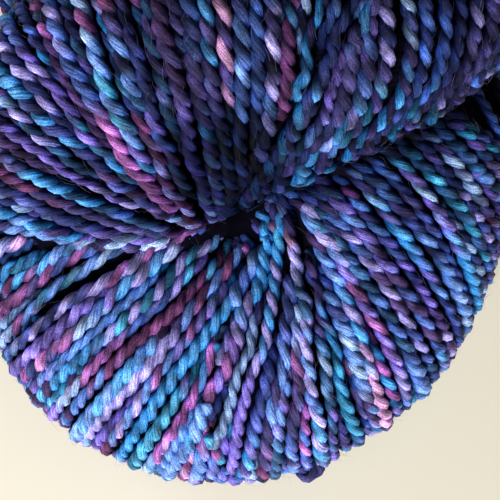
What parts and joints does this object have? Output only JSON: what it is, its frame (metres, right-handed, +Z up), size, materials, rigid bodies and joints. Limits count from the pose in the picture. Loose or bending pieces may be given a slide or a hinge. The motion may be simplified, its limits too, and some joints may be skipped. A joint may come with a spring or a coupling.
{
  "type": "hank of yarn",
  "caption": "Hank of thick two-ply wool yarn, twisted and doubled on itself into a puffy rope with a fanned bend round a deep pit at its near end.",
  "frame": {"origin": "on the table, under the middle of the hank's box", "axes": "+Y along the hank from the fanned bend to the far bend, +Z up from the table"},
  "size_m": [0.097, 0.2532, 0.0697],
  "materials": {
    "wool_yarn": "soft two-ply wool in blues, teals and violets"
  },
  "bodies": {
    "root": {"hank": "wool_yarn"}
  },
  "joints": []
}
